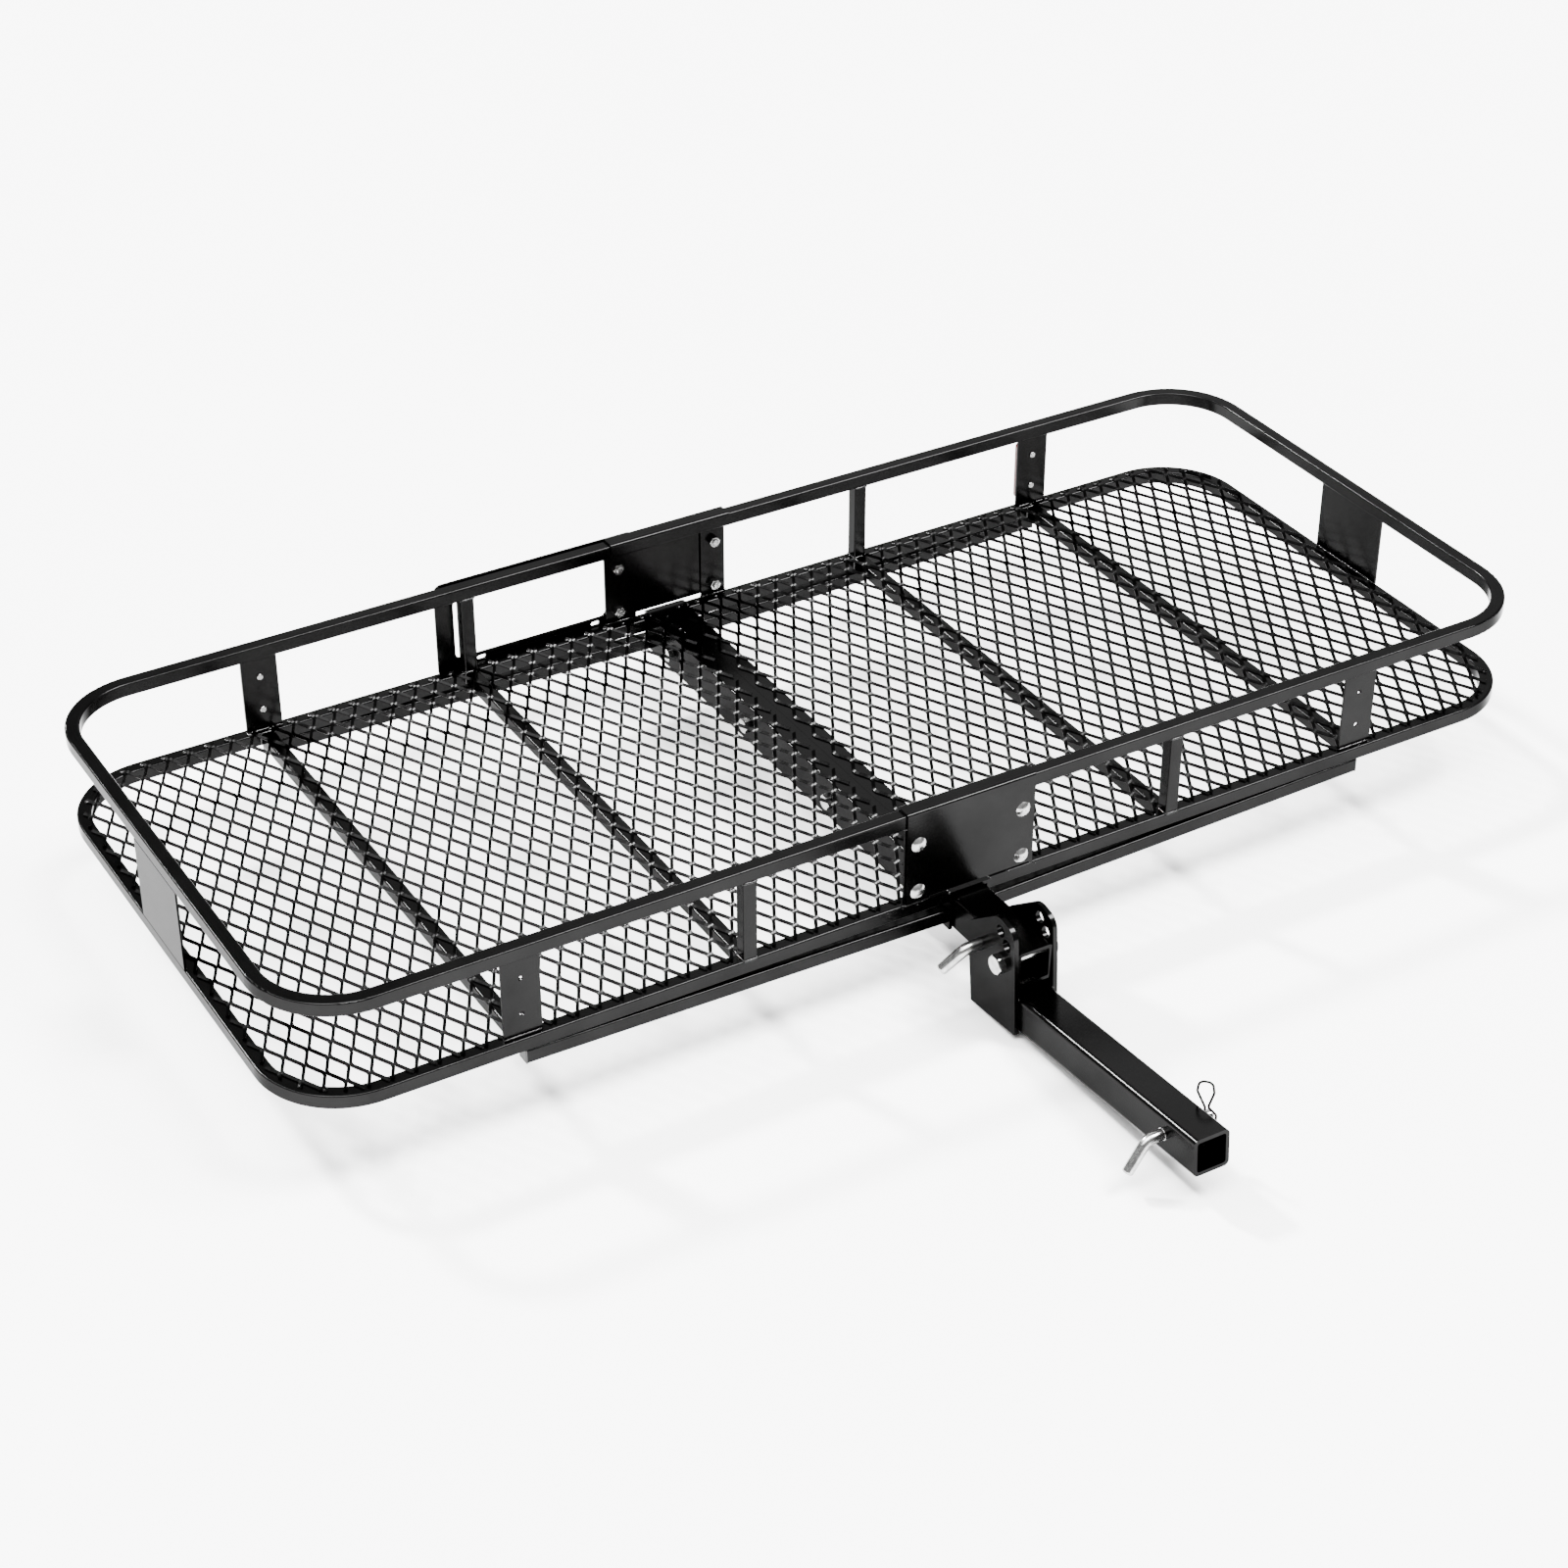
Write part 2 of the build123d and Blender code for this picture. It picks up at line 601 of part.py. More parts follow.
def floor():
    end = HALF_LENGTH - RAIL / 2
    nodes["floor_mesh_left"] = mesh_panel(-end, MESH_LEFT_END)
    nodes["floor_mesh_right"] = mesh_panel(MESH_RIGHT_END, end)


# ---- Shank, clevis and pins ----

def shank_tube():
    half = SHANK / 2
    tube_part = tube(
        -half, half, -SHANK_FRONT, SHANK_REAR, -half, half,
        Axis.Y, SHANK_WALL, SHANK_CORNER, SHANK_INNER_CORNER
    )
    tube_part = tube_part - prism_x(Circle(PIN_HOLE_R), -SHANK, SHANK)
    return Pos(0, PIN_Y, PIN_Z) * Rot(-PITCH, 0, 0) * tube_part


def clevis_plate_left():
    """Side plate welded to the shank, with the hinge, lock, fold-up and spare holes."""
    face = make_face(Polyline(*CLEVIS_OUTLINE, close=True))
    for (y, z), radius in zip(CLEVIS_OUTLINE, CLEVIS_CORNERS):
        if radius:
            nearest = face.vertices().sort_by_distance((y, z, 0))[0]
            face = fillet(nearest, radius)
    plate = prism_x(face, -CLEVIS_INNER - CLEVIS, -CLEVIS_INNER)
    reach = -CLEVIS_INNER - CLEVIS - 1
    plate = plate - prism_x(Circle(HINGE_R + HINGE_FIT), reach, 0, HINGE_Y, HINGE_Z)
    for turn in (0.0, FOLD_UP):
        y = HINGE_Y + LOCK_RADIUS * math.cos(math.radians(turn))
        z = HINGE_Z + LOCK_RADIUS * math.sin(math.radians(turn))
        plate = plate - prism_x(Circle(PIN_HOLE_R), reach, 0, y, z)
    return plate - prism_x(Circle(PIN_HOLE_R), reach, 0, SPARE_HOLE_Y, SPARE_HOLE_Z)


def hinge():
    outer = CLEVIS_INNER + CLEVIS
    bolt = hex_bolt(HINGE_R, HINGE_AF, HINGE_HEAD, 2 * outer + HINGE_NUT + HINGE_PAST_NUT)
    nodes["hinge_bolt"] = facing((-outer, HINGE_Y, HINGE_Z), (-1, 0, 0)) * bolt
    nut = hex_nut(HINGE_R, HINGE_AF, HINGE_NUT)
    nodes["hinge_nut"] = facing((outer, HINGE_Y, HINGE_Z), (1, 0, 0)) * nut


def bent_pin(radius, handle_r, start, end, straight, handle, turn):
    """Round pin along X from start to end, whose handle bends down past its left end.

    start is the left face that the pin enters; turn swings the handle from straight down
    toward +Y, in degrees.
    """
    pin = Pos((start + end) / 2, 0, 0) * Rot(0, 90, 0) * Cylinder(radius, end - start)
    pin = chamfer(pin.edges().sort_by(Axis.X)[-1], PIN_END_CHAMFER)
    lean = math.radians(HANDLE_BEND)
    swing = math.radians(turn)
    corner = Vector(start - straight, 0, 0)
    down = Vector(0, math.sin(swing), -math.cos(swing))
    tip = corner + Vector(-math.cos(lean), 0, 0) * handle + down * (math.sin(lean) * handle)
    path = FilletPolyline(Vector(start, 0, 0), corner, tip, radius=HANDLE_BEND_R)
    section = Plane(origin=path @ 0, z_dir=path % 0) * Circle(handle_r)
    grip = sweep(section, path=path)
    grip = fillet(grip.faces().sort_by_distance(tip)[0].edges(), handle_r * 0.45)
    return pin + grip


def pins():
    outer = CLEVIS_INNER + CLEVIS
    lock = bent_pin(
        LOCK_PIN_R, LOCK_PIN_R, -outer, LOCK_PIN_END, LOCK_STRAIGHT, LOCK_HANDLE, LOCK_TURN
    )
    nodes["lock_pin"] = Pos(0, HINGE_Y + LOCK_RADIUS, HINGE_Z) * lock
    receiver = bent_pin(
        LOCK_PIN_R, RECEIVER_HANDLE_R, -SHANK / 2, RECEIVER_PIN_END, RECEIVER_STRAIGHT,
        RECEIVER_HANDLE, RECEIVER_TURN
    )
    receiver = receiver - Pos(CLIP_X, 0, 0) * Cylinder(CLIP_HOLE_R, 4 * LOCK_PIN_R)
    nodes["receiver_pin"] = Pos(0, PIN_Y, PIN_Z) * receiver


def receiver_clip():
    """Spring clip: a straight leg through the pin, an eye on top and a leg bent beside the pin.

    The points are given across and up in the clip's own upright plane, which CLIP_TURN swings
    from +X toward -Y about the straight leg.
    """
    path = FilletPolyline(*[Vector(across, 0, up) for across, up in CLIP_POINTS], radius=CLIP_BENDS)
    section = Plane(origin=path @ 0, z_dir=path % 0) * Circle(CLIP_R)
    return Pos(CLIP_X, PIN_Y, PIN_Z) * Rot(0, 0, CLIP_TURN) * sweep(section, path=path)


def hitch_arm():
    nodes["shank_tube"] = shank_tube()
    plate = clevis_plate_left()
    nodes["clevis_plate_left"] = plate
    nodes["clevis_plate_right"] = right_of(plate)
    hinge()
    pins()
    nodes["receiver_clip"] = receiver_clip()


def write_nodes():
    """One STEP per node, moved so that the origin is the receiver pin's hole."""
    os.makedirs("parts", exist_ok=True)
    to_row = Pos(0, -PIN_Y, -PIN_Z)
    for name, parts in nodes.items():
        pieces = parts if isinstance(parts, list) else [parts]
        solids = []
        for piece in pieces:
            solids.extend((to_row * piece).solids())
        shape = solids[0] if len(solids) == 1 else Compound(solids)
        export_step(shape, f"parts/{name}.step")


rails()
under_rails()
cross_members()
centre_structure()
uprights()
splices()
rear_fittings()
floor()
hitch_arm()
write_nodes()
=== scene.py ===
import json
import math

import bpy
import numpy as np
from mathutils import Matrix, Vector


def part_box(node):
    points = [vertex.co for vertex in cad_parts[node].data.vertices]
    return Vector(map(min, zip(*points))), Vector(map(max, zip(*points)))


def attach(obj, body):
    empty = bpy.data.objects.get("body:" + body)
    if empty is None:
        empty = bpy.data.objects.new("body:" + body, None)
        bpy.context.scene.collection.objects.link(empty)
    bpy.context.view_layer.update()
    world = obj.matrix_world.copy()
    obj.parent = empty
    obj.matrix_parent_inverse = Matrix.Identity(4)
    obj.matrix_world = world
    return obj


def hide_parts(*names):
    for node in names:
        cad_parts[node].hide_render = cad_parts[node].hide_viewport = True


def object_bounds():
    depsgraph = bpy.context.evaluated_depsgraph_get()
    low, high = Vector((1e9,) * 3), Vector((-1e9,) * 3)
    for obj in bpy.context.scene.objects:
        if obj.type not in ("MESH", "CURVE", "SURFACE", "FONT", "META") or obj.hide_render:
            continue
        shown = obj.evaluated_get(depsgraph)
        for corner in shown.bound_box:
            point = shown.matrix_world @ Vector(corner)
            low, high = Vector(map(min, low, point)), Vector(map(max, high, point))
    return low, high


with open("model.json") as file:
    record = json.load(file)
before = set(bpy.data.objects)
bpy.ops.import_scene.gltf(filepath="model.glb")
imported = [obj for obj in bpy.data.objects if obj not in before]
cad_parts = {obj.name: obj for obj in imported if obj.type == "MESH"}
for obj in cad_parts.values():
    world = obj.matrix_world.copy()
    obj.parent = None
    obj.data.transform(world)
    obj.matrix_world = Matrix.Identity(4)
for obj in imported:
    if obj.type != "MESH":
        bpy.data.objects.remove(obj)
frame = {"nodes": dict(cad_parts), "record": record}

CAD_BOX = [list(corner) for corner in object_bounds()]
MM = 0.001
NODES = frame["nodes"]

# ---------------------------------------------------------------- camera, floor and light

CAMERA_AT = (-1.9025, -2.3276, 2.4599)
CAMERA_AZIMUTH = -30.44
CAMERA_ELEVATION = 33.68
CAMERA_LENS = 75.6
FLOOR_GAP = 1 * MM
FLOOR_REACH = 40.0
WORLD_STRENGTH = 0.5
SUNS = (
    ("sun_left", -75, 62, 3.5, 38),
    ("sun_right", 66, 60, 11.0, 22),
    ("sun_above", -30, 80, 8.0, 40),
    ("sun_rim", -140, 56, 1.2, 12),
    ("sun_edge", -160, 40, 11.0, 6),
    ("sun_rear", 148, 22, 0.7, 30),
)


def make_camera():
    data = bpy.data.cameras.new("camera")
    camera = bpy.data.objects.new("camera", data)
    bpy.context.scene.collection.objects.link(camera)
    azimuth = math.radians(CAMERA_AZIMUTH)
    elevation = math.radians(CAMERA_ELEVATION)
    back = Vector((
        math.sin(azimuth) * math.cos(elevation),
        -math.cos(azimuth) * math.cos(elevation),
        math.sin(elevation),
    ))
    camera.location = CAMERA_AT
    camera.rotation_mode = "QUATERNION"
    camera.rotation_quaternion = (-back).to_track_quat("-Z", "Y")
    data.sensor_width = 36
    data.lens = CAMERA_LENS
    data.clip_end = 100
    bpy.context.scene.camera = camera


def sun(name, azimuth, elevation, strength, angle):
    """Distant light; azimuth 0 is the vehicle side, and positive turns toward +X."""
    data = bpy.data.lights.new(name, "SUN")
    data.energy = strength
    data.angle = math.radians(angle)
    light = bpy.data.objects.new(name, data)
    bpy.context.scene.collection.objects.link(light)
    turn, rise = math.radians(azimuth), math.radians(elevation)
    source = Vector((
        math.sin(turn) * math.cos(rise),
        -math.cos(turn) * math.cos(rise),
        math.sin(rise),
    ))
    light.rotation_mode = "QUATERNION"
    light.rotation_quaternion = (-source).to_track_quat("-Z", "Y")
    light.location = source * 5


def make_stage():
    floor_z = CAD_BOX[0][2] - FLOOR_GAP
    mesh = bpy.data.meshes.new("floor")
    reach = FLOOR_REACH
    corners = [(-reach, -reach), (reach, -reach), (reach, reach), (-reach, reach)]
    mesh.from_pydata([(x, y, floor_z) for x, y in corners], [], [(0, 1, 2, 3)])
    floor = bpy.data.objects.new("floor", mesh)
    bpy.context.scene.collection.objects.link(floor)
    floor.data.materials.append(floor_material())
    world = bpy.data.worlds.new("world")
    bpy.context.scene.world = world
    world.use_nodes = True
    background = world.node_tree.nodes["Background"]
    background.inputs["Color"].default_value = (1, 1, 1, 1)
    background.inputs["Strength"].default_value = WORLD_STRENGTH
    for settings in SUNS:
        sun(*settings)


# ---------------------------------------------------------------- materials

def new_material(name):
    material = bpy.data.materials.new(name)
    material.use_nodes = True
    tree = material.node_tree
    return material, tree, tree.nodes["Principled BSDF"]


def object_coords(tree):
    return tree.nodes.new("ShaderNodeTexCoord").outputs["Object"]


def noise(tree, vector, scale, detail=3.0, roughness=0.5):
    node = tree.nodes.new("ShaderNodeTexNoise")
    node.inputs["Scale"].default_value = scale
    node.inputs["Detail"].default_value = detail
    node.inputs["Roughness"].default_value = roughness
    tree.links.new(vector, node.inputs["Vector"])
    return node.outputs["Fac"]


def ramp(tree, value, stops):
    """Colour ramp with (position, colour) stops."""
    node = tree.nodes.new("ShaderNodeValToRGB")
    elements = node.color_ramp.elements
    for element, (position, colour) in zip(elements, (stops[0], stops[-1])):
        element.position = position
        element.color = (*colour, 1)
    for position, colour in stops[1:-1]:
        element = elements.new(position)
        element.color = (*colour, 1)
    tree.links.new(value, node.inputs["Fac"])
    return node.outputs["Color"]


def map_range(tree, value, low, high):
    node = tree.nodes.new("ShaderNodeMapRange")
    node.inputs["To Min"].default_value = low
    node.inputs["To Max"].default_value = high
    tree.links.new(value, node.inputs["Value"])
    return node.outputs["Result"]


def bump(tree, height, strength, distance, normal=None):
    node = tree.nodes.new("ShaderNodeBump")
    node.inputs["Strength"].default_value = strength
    node.inputs["Distance"].default_value = distance
    tree.links.new(height, node.inputs["Height"])
    if normal is not None:
        tree.links.new(normal, node.inputs["Normal"])
    return node.outputs["Normal"]


def powder_coat(name="powder_coat", rough=(0.15, 0.25), reflect_scale=1.0):
    """Semi-gloss black powder coat: orange peel, faint dust and thinner colour in patches.

    The coat is so dark that only its reflection shows, so the shader is all reflection, with
    a tint that keeps it from brightening at low angles.
    """
    material, tree, shader = new_material(name)
    where = object_coords(tree)
    patches = noise(tree, where, 14.0, 4.0, 0.6)
    # The scale multiplies the coat's colour: the strands' copy at 0.3 is painted shade, and the
    # welds' copy at 3.0 is painted highlight.
    low, high = 0.0085 * reflect_scale, 0.0115 * reflect_scale
    colour = ramp(tree, patches, [(0.25, (low, low, low)), (0.75, (high, high, high))])
    specks = noise(tree, where, 900.0, 2.0)
    tree.links.new(colour, shader.inputs["Base Color"])
    tree.links.new(map_range(tree, patches, *rough), shader.inputs["Roughness"])
    peel = noise(tree, where, 420.0, 2.0, 0.45)
    fine = bump(tree, specks, 0.05, 0.0002)
    tree.links.new(bump(tree, peel, 0.16, 0.0004, fine), shader.inputs["Normal"])
    shader.inputs["Metallic"].default_value = 1.0
    shader.inputs["Specular Tint"].default_value = (0.52, 0.52, 0.52, 1)
    return material


ZINC_TONES = (0.24, 0.38, 0.54)


def zinc_plate():
    """Zinc plate: cloudy brightness, fine drawn lines and small handling marks."""
    material, tree, shader = new_material("zinc")
    where = object_coords(tree)
    cloud = noise(tree, where, 120.0, 4.0, 0.6)
    stops = [(at, (t, t, t * 0.99)) for at, t in zip((0.3, 0.55, 0.8), ZINC_TONES)]
    tone = ramp(tree, cloud, stops)
    tree.links.new(tone, shader.inputs["Base Color"])
    stretch = tree.nodes.new("ShaderNodeMapping")
    stretch.inputs["Scale"].default_value = (60.0, 1400.0, 1400.0)
    tree.links.new(where, stretch.inputs["Vector"])
    lines = noise(tree, stretch.outputs["Vector"], 1.0, 3.0)
    marks = noise(tree, where, 700.0, 3.0, 0.6)
    tree.links.new(map_range(tree, marks, 0.14, 0.3), shader.inputs["Roughness"])
    drawn = bump(tree, lines, 0.12, 0.0002)
    tree.links.new(bump(tree, marks, 0.08, 0.0002, drawn), shader.inputs["Normal"])
    shader.inputs["Metallic"].default_value = 1.0
    return material


def reflector_lens():
    """Red lens moulded with small prisms."""
    material, tree, shader = new_material("reflector_lens")
    where = object_coords(tree)
    cells = tree.nodes.new("ShaderNodeTexVoronoi")
    cells.distance = "CHEBYCHEV"
    cells.inputs["Scale"].default_value = 330.0
    cells.inputs["Randomness"].default_value = 0.0
    tree.links.new(where, cells.inputs["Vector"])
    red, crease_shade_red = (0.085, 0.0006, 0.0008), (0.03, 0.0002, 0.0003)
    # Each prism's red darkens from its middle out to its edges: painted shade in the creases
    # between the prisms.
    colour = ramp(tree, cells.outputs["Distance"], [(0.0, red), (0.6, crease_shade_red)])
    tree.links.new(colour, shader.inputs["Base Color"])
    tree.links.new(bump(tree, cells.outputs["Distance"], 0.7, 0.0015), shader.inputs["Normal"])
    shader.inputs["Roughness"].default_value = 0.16
    shader.inputs["Specular IOR Level"].default_value = 0.1
    shader.inputs["Coat Weight"].default_value = 0.15
    shader.inputs["Coat Roughness"].default_value = 0.03
    return material


def moulded_plastic(name, dark, light, rough):
    """Moulded plastic with a fine spark-eroded grain."""
    material, tree, shader = new_material(name)
    where = object_coords(tree)
    cloud = noise(tree, where, 45.0, 4.0, 0.6)
    tone = ramp(tree, cloud, [(0.3, (dark, dark, dark)), (0.7, (light, light, light))])
    tree.links.new(tone, shader.inputs["Base Color"])
    grain = noise(tree, where, 1500.0, 2.0)
    tree.links.new(map_range(tree, grain, *rough), shader.inputs["Roughness"])
    tree.links.new(bump(tree, grain, 0.25, 0.0002), shader.inputs["Normal"])
    return material


def floor_material():
    material, tree, shader = new_material("floor")
    where = object_coords(tree)
    cloud = noise(tree, where, 0.8, 2.0)
    tone = ramp(tree, cloud, [(0.3, (0.90, 0.90, 0.90)), (0.7, (0.93, 0.93, 0.93))])
    tree.links.new(tone, shader.inputs["Base Color"])
    shader.inputs["Roughness"].default_value = 0.7
    shader.inputs["Specular IOR Level"].default_value = 0.1
    return material


# ---------------------------------------------------------------- mesh helpers

class Builder:
    """Collects points and faces, and makes one smooth-shaded piece of them."""

    def __init__(self):
        self.points = []
        self.faces = []

    def loft(self, rings, closed=False):
        """Skin between rings of equal length, with flat caps unless the loft is closed."""
        start = len(self.points)
        count = len(rings[0])
        for ring in rings:
            self.points.extend(ring)
        pairs = len(rings) if closed else len(rings) - 1
        for index in range(pairs):
            here = start + index * count
            there = start + ((index + 1) % len(rings)) * count
            for step in range(count):
                after = (step + 1) % count
                self.faces.append((here + step, here + after, there + after, there + step))
        if not closed:
            last = start + (len(rings) - 1) * count
            self.faces.append(tuple(range(start + count - 1, start - 1, -1)))
            self.faces.append(tuple(range(last, last + count)))

    def piece(self, name, body, material, slot, angle=35.0):
        mesh = bpy.data.meshes.new(name)
        mesh.from_pydata([tuple(point) for point in self.points], [], self.faces)
        mesh.validate()
        mesh.update()
        thing = bpy.data.objects.new(name, mesh)
        bpy.context.scene.collection.objects.link(thing)
        mesh.materials.append(material)
        mesh.shade_smooth()
        mesh.set_sharp_from_angle(angle=math.radians(angle))
        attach(thing, body)
        return thing


# ---------------------------------------------------------------- expanded metal floor

SHORT_WAY = 30 * MM
LONG_WAY = 51 * MM
STRAND_WIDTH = 4.7 * MM
NOTCH_GAP = 2.5 * MM
STRAND_THICK = 1.6 * MM
STRAND_TILT = math.radians(30)
BOND_AT_X = 6.8 * MM
BOND_AT_Y = -6 * MM
BOND_HALF = 3.0 * MM
STRAND_EDGE = 0.45 * MM
STRAND_STEPS = 4
CORNER_RADIUS = 104.8 * MM
EDGE_HALVINGS = 14
SHORTEST_RUN = 4 * MM
TACK_REACH = 90 * MM
RAIL = 19.05 * MM


class FloorOutline:
    """Where a floor half may lie: out to the middle of the rails, and round their uprights."""

    def __init__(self, side):
        rail_low, rail_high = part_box(f"bottom_rail_{side}")
        sheet_low, sheet_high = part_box(f"floor_mesh_{side}")
        self.low = sheet_low
        self.high = sheet_high
        self.y_middle = (rail_low.y + rail_high.y) / 2
        self.reach_x = max(abs(sheet_low.x), abs(sheet_high.x))
        self.reach_y = (sheet_high.y - sheet_low.y) / 2
        self.radius = CORNER_RADIUS
        self.notches = []
        for kind in ("plate_upright", "narrow_upright"):
            for place in ("front", "rear"):
                low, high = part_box(f"{kind}_{place}_{side}")
                near = min(abs(low.y - self.y_middle), abs(high.y - self.y_middle)) - 1 * MM
                at_rear = low.y > self.y_middle
                self.notches.append((low.x - NOTCH_GAP, high.x + NOTCH_GAP, near, at_rear))

    def inside(self, x, y):
        away = y - self.y_middle
        if not self.low.x <= x <= self.high.x:
            return False
        over_x = max(0.0, abs(x) - (self.reach_x - self.radius))
        over_y = max(0.0, abs(away) - (self.reach_y - self.radius))
        if max(over_x, over_y) > self.radius:
            return False
        if over_x and over_y and math.hypot(over_x, over_y) > self.radius:
            return False
        for x0, x1, near, at_rear in self.notches:
            if x0 < x < x1 and at_rear == (away > 0) and abs(away) > near:
                return False
        return True

    def edge(self, inner, outer):
        """Point on the outline between one inside it and one outside."""
        for _ in range(EDGE_HALVINGS):
            middle = ((inner[0] + outer[0]) / 2, (inner[1] + outer[1]) / 2)
            if self.inside(*middle):
                inner = middle
            else:
                outer = middle
        return inner


def wave_points(outline, wave, rows):
    """Middle line of one strand: it zigzags along Y and touches its neighbours at the bonds."""
    points = []
    half = STRAND_WIDTH / 2
    for row in range(-rows, rows + 1):
        y = outline.y_middle + BOND_AT_Y + row * LONG_WAY / 2
        if (wave + row) % 2 == 0:
            x = BOND_AT_X + wave * SHORT_WAY / 2 + half
        else:
            x = BOND_AT_X + (wave + 1) * SHORT_WAY / 2 - half
        before, after = (x, y - BOND_HALF), (x, y + BOND_HALF)
        if points:
            last = points[-1]
            for step in range(1, STRAND_STEPS):
                t = step / STRAND_STEPS
                x_step, y_step = (before[0] - last[0]) * t, (before[1] - last[1]) * t
                points.append((last[0] + x_step, last[1] + y_step))
        points.extend((before, after))
    return points


def runs_inside(outline, points):
    """Stretches of a line that lie in the outline, cut where they leave it."""
    runs = []
    run = []
    for index, point in enumerate(points):
        now = outline.inside(*point)
        if now and not run and index:
            run.append(outline.edge(point, points[index - 1]))
        if now:
            run.append(point)
        elif run:
            run.append(outline.edge(run[-1], point))
            runs.append(run)
            run = []
    if run:
        runs.append(run)
    return [r for r in runs if math.dist(r[0], r[-1]) > SHORTEST_RUN]


def strand_profile():
    """Strip section, across and up: edges rounded off, tilted, with its lowest point at zero."""
    half, thick, edge = STRAND_WIDTH / 2, STRAND_THICK / 2, STRAND_EDGE
    flat = [
        (-half + edge, -thick), (half - edge, -thick), (half, edge - thick), (half, thick - edge),
        (half - edge, thick), (-half + edge, thick), (-half, thick - edge), (-half, edge - thick),
    ]
    cos, sin = math.cos(STRAND_TILT), math.sin(STRAND_TILT)
    tilted = [(u * cos - v * sin, u * sin + v * cos) for u, v in flat]
    lowest = min(v for _, v in tilted)
    return [(u, v - lowest) for u, v in tilted]


def add_strand(builder, run, z_low):
    rings = []
    profile = strand_profile()
    count = len(run)
    for index, (x, y) in enumerate(run):
        before = run[max(index - 1, 0)]
        after = run[min(index + 1, count - 1)]
        along = Vector((after[0] - before[0], after[1] - before[1])).normalized()
        side = Vector((along.y, -along.x))
        rings.append([(x + side.x * u, y + side.y * u, z_low + v) for u, v in profile])
    builder.loft(rings)


def make_floor(side, materials):
    outline = FloorOutline(side)
    strands = Builder()
    tacks = Builder()
    random = np.random.default_rng(7 if side == "left" else 11)
    first = math.floor((outline.low.x - BOND_AT_X) / (SHORT_WAY / 2)) - 1
    last = math.ceil((outline.high.x - BOND_AT_X) / (SHORT_WAY / 2))
    rows = int(outline.reach_y / (LONG_WAY / 2)) + 2
    z_low = outline.low.z + 0.1 * MM
    for wave in range(first, last + 1):
        points = wave_points(outline, wave, rows)
        for run in runs_inside(outline, points):
            add_strand(strands, run, z_low)
            for end in (run[0], run[-1]):
                at_rail = abs(abs(end[1] - outline.y_middle) - outline.reach_y) < TACK_REACH
                if at_rail and wave % 2 == 0:
                    add_tack(tacks, random, end[0], end[1], outline)
    piece = strands.piece(f"expanded_metal_{side}", "basket", materials["mesh"], "powder_coat")
    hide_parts(f"floor_mesh_{side}")
    tacks.piece(f"floor_tack_welds_{side}", "basket", materials["weld"], "powder_coat", 80)


def add_tack(builder, random, x, y, outline):
    """Small weld lump where a strand end meets the rail."""
    toward_middle = -1 if y > outline.y_middle else 1
    centre = Vector((x, y + toward_middle * 2.5 * MM, outline.low.z))
    blob(builder, random, centre, (3.6 * MM, 3.2 * MM, 2.6 * MM))


def blob(builder, random, centre, size, rings=5, sides=9):
    """Lumpy upper half of an ellipsoid, closed below."""
    made = []
    turn = random.uniform(0, math.tau)
    for ring in range(rings):
        height = math.sin(math.pi / 2 * ring / (rings - 0.4))
        width = math.cos(math.pi / 2 * ring / (rings - 0.4))
        wobble = 1 + random.uniform(-0.12, 0.12, sides)
        made.append([
            (
                centre.x + size[0] * width * wobble[i] * math.cos(turn + math.tau * i / sides),
                centre.y + size[1] * width * wobble[i] * math.sin(turn + math.tau * i / sides),
                centre.z + size[2] * height,
            )
            for i in range(sides)
        ])
    builder.loft(made)


# ---------------------------------------------------------------- weld beads

def bead(builder, random, start, end, radius=2.2 * MM, sides=8):
    """Rippled weld bead along a joint, half sunk in the pieces it joins."""
    start, end = Vector(start), Vector(end)
    along = end - start
    length = along.length
    along.normalize()
    side = along.orthogonal().normalized()
    other = along.cross(side)
    count = max(6, int(length / (0.9 * MM)))
    rings = []
    for step in range(count + 1):
        s = step / count
        taper = math.sqrt(max(0.06, 1 - (2 * s - 1) ** 8))
        ripple = 0.84 + 0.16 * abs(math.sin(math.pi * s * length / (2.6 * MM)))
        wander = random.uniform(-0.3, 0.3, 2) * MM
        middle = start + along * (length * s) + side * wander[0] + other * wander[1]
        grow = random.uniform(0.93, 1.07, sides) * radius * taper * ripple
        rings.append([
            middle + side * (grow[i] * math.cos(math.tau * i / sides))
            + other * (grow[i] * math.sin(math.tau * i / sides))
            for i in range(sides)
        ])
    builder.loft(rings)


def spatter(builder, random, centre, reach, count):
    """Small round drops thrown beside a weld, on a level face."""
    for _ in range(count):
        place = Vector((
            centre[0] + random.uniform(-reach[0], reach[0]),
            centre[1] + random.uniform(-reach[1], reach[1]),
            centre[2] - 0.2 * MM,
        ))
        size = random.uniform(0.7, 1.4) * MM
        blob(builder, random, place, (size, size, size), 4, 7)


def upright_welds(builder, random, name):
    """Beads round the foot of an upright and under its head."""
    low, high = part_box(name)
    for z in (low.z, high.z):
        for y in (low.y, high.y):
            bead(builder, random, (low.x, y, z), (high.x, y, z), 1.9 * MM)
        for x in (low.x, high.x):
            bead(builder, random, (x, low.y, z), (x, high.y, z), 1.7 * MM)
    foot = ((low.x + high.x) / 2, (low.y + high.y) / 2, low.z)
    spatter(builder, random, foot, (24 * MM, 8 * MM), 7)


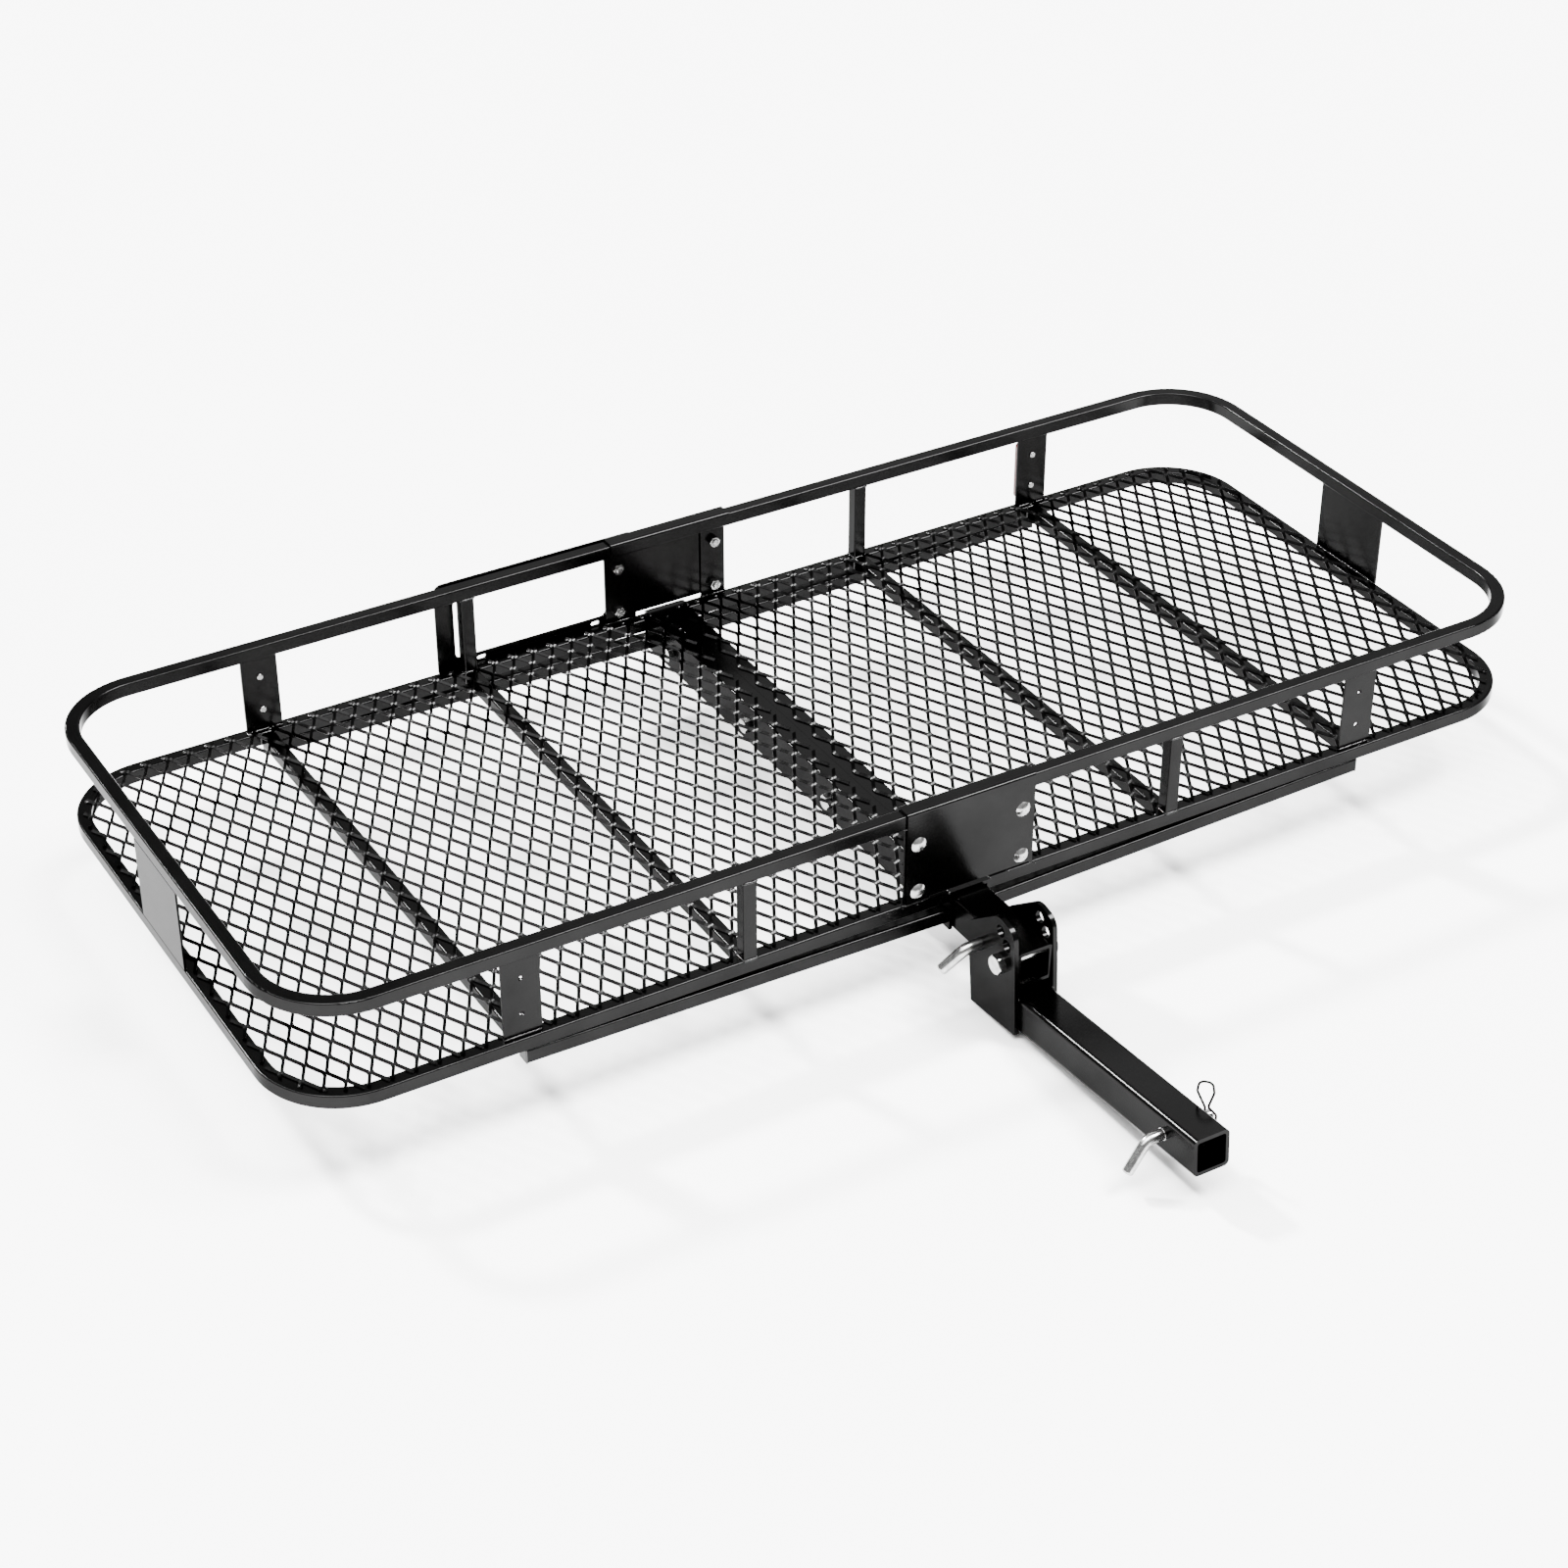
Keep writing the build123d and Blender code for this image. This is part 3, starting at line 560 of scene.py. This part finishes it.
def make_frame_welds(materials):
    random = np.random.default_rng(23)
    welds = Builder()
    for side in ("left", "right"):
        for kind in ("inner", "outer"):
            low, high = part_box(f"cross_member_{kind}_{side}")
            for y in (low.y, high.y):
                top = high.z - 0.6 * MM
                bead(welds, random, (low.x, y, top), (high.x, y, top))
                for x in (low.x, high.x):
                    bead(welds, random, (x, y, low.z + 1 * MM), (x, y, high.z - 1 * MM))
        for place in ("front", "rear"):
            for kind in ("plate_upright", "narrow_upright", "splice_end_plate"):
                upright_welds(welds, random, f"{kind}_{place}_{side}")
        low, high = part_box(f"end_plate_{side}")
        inner_face = high.x if side == "left" else low.x
        for z in (low.z, high.z):
            bead(welds, random, (inner_face, low.y, z), (inner_face, high.y, z), 1.8 * MM)
        low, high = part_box(f"centre_angle_{side}")
        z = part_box(f"bottom_rail_{side}")[1].z - 1 * MM
        flange = low.x if side == "left" else high.x
        for y in (low.y, high.y - RAIL):
            bead(welds, random, (flange, y, z), (flange, y + RAIL, z))
    welds.piece("frame_weld_beads", "basket", materials["weld"], "powder_coat", 80)


SHANK_PITCH = math.radians(4.75)
SHANK_HALF = 25.4 * MM
CLEVIS_BEAD_SUNK = 1.6 * MM


def make_arm_welds(materials):
    """Beads where the clevis plates meet the top and the underside of the shank."""
    random = np.random.default_rng(29)
    welds = Builder()
    reach = SHANK_HALF / math.cos(SHANK_PITCH) - CLEVIS_BEAD_SUNK
    for side, x in (("left", -SHANK_HALF), ("right", SHANK_HALF)):
        low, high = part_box(f"clevis_plate_{side}")
        for up in (-1, 1):
            ends = [
                (x, y, up * reach - y * math.tan(SHANK_PITCH))
                for y in (low.y + 2 * MM, high.y - 2 * MM)
            ]
            bead(welds, random, *ends, 2.6 * MM)
    welds.piece("clevis_weld_beads", "hitch_arm", materials["weld"], "powder_coat", 80)


# ---------------------------------------------------------------- run it

def assign(names, material):
    for name in names:
        mesh = NODES[name].data
        mesh.materials.clear()
        mesh.materials.append(material)


def make_materials():
    return {
        "coat": powder_coat(),
        # Strands get the coat at 0.3 of its colour: painted shade, so the same coat reads darker
        # on the strands than on the frame.
        "mesh": powder_coat("powder_coat_mesh", (0.16, 0.26), 0.3),
        # Weld lumps and beads get the coat at three times its colour: painted highlights on the
        # same black coat.
        "weld": powder_coat("powder_coat_weld", (0.10, 0.18), 3.0),
        "zinc": zinc_plate(),
        "wire": powder_coat("spring_wire", (0.12, 0.2)),
        "lens": reflector_lens(),
        "base": moulded_plastic("reflector_base", 0.06, 0.085, (0.45, 0.6)),
        "plug": moulded_plastic("plug", 0.010, 0.018, (0.5, 0.65)),
    }


def main():
    make_camera()
    make_stage()
    materials = make_materials()
    by_slot = {"powder_coat": "coat", "zinc": "zinc", "reflector_lens": "lens",
               "reflector_base": "base", "plug": "plug"}
    for entry in frame["record"]["subparts"]:
        assign([entry["node"]], materials[by_slot[entry["material_slot"]]])
    assign(["receiver_clip"], materials["wire"])
    for side in ("left", "right"):
        make_floor(side, materials)
    make_frame_welds(materials)
    make_arm_welds(materials)


main()
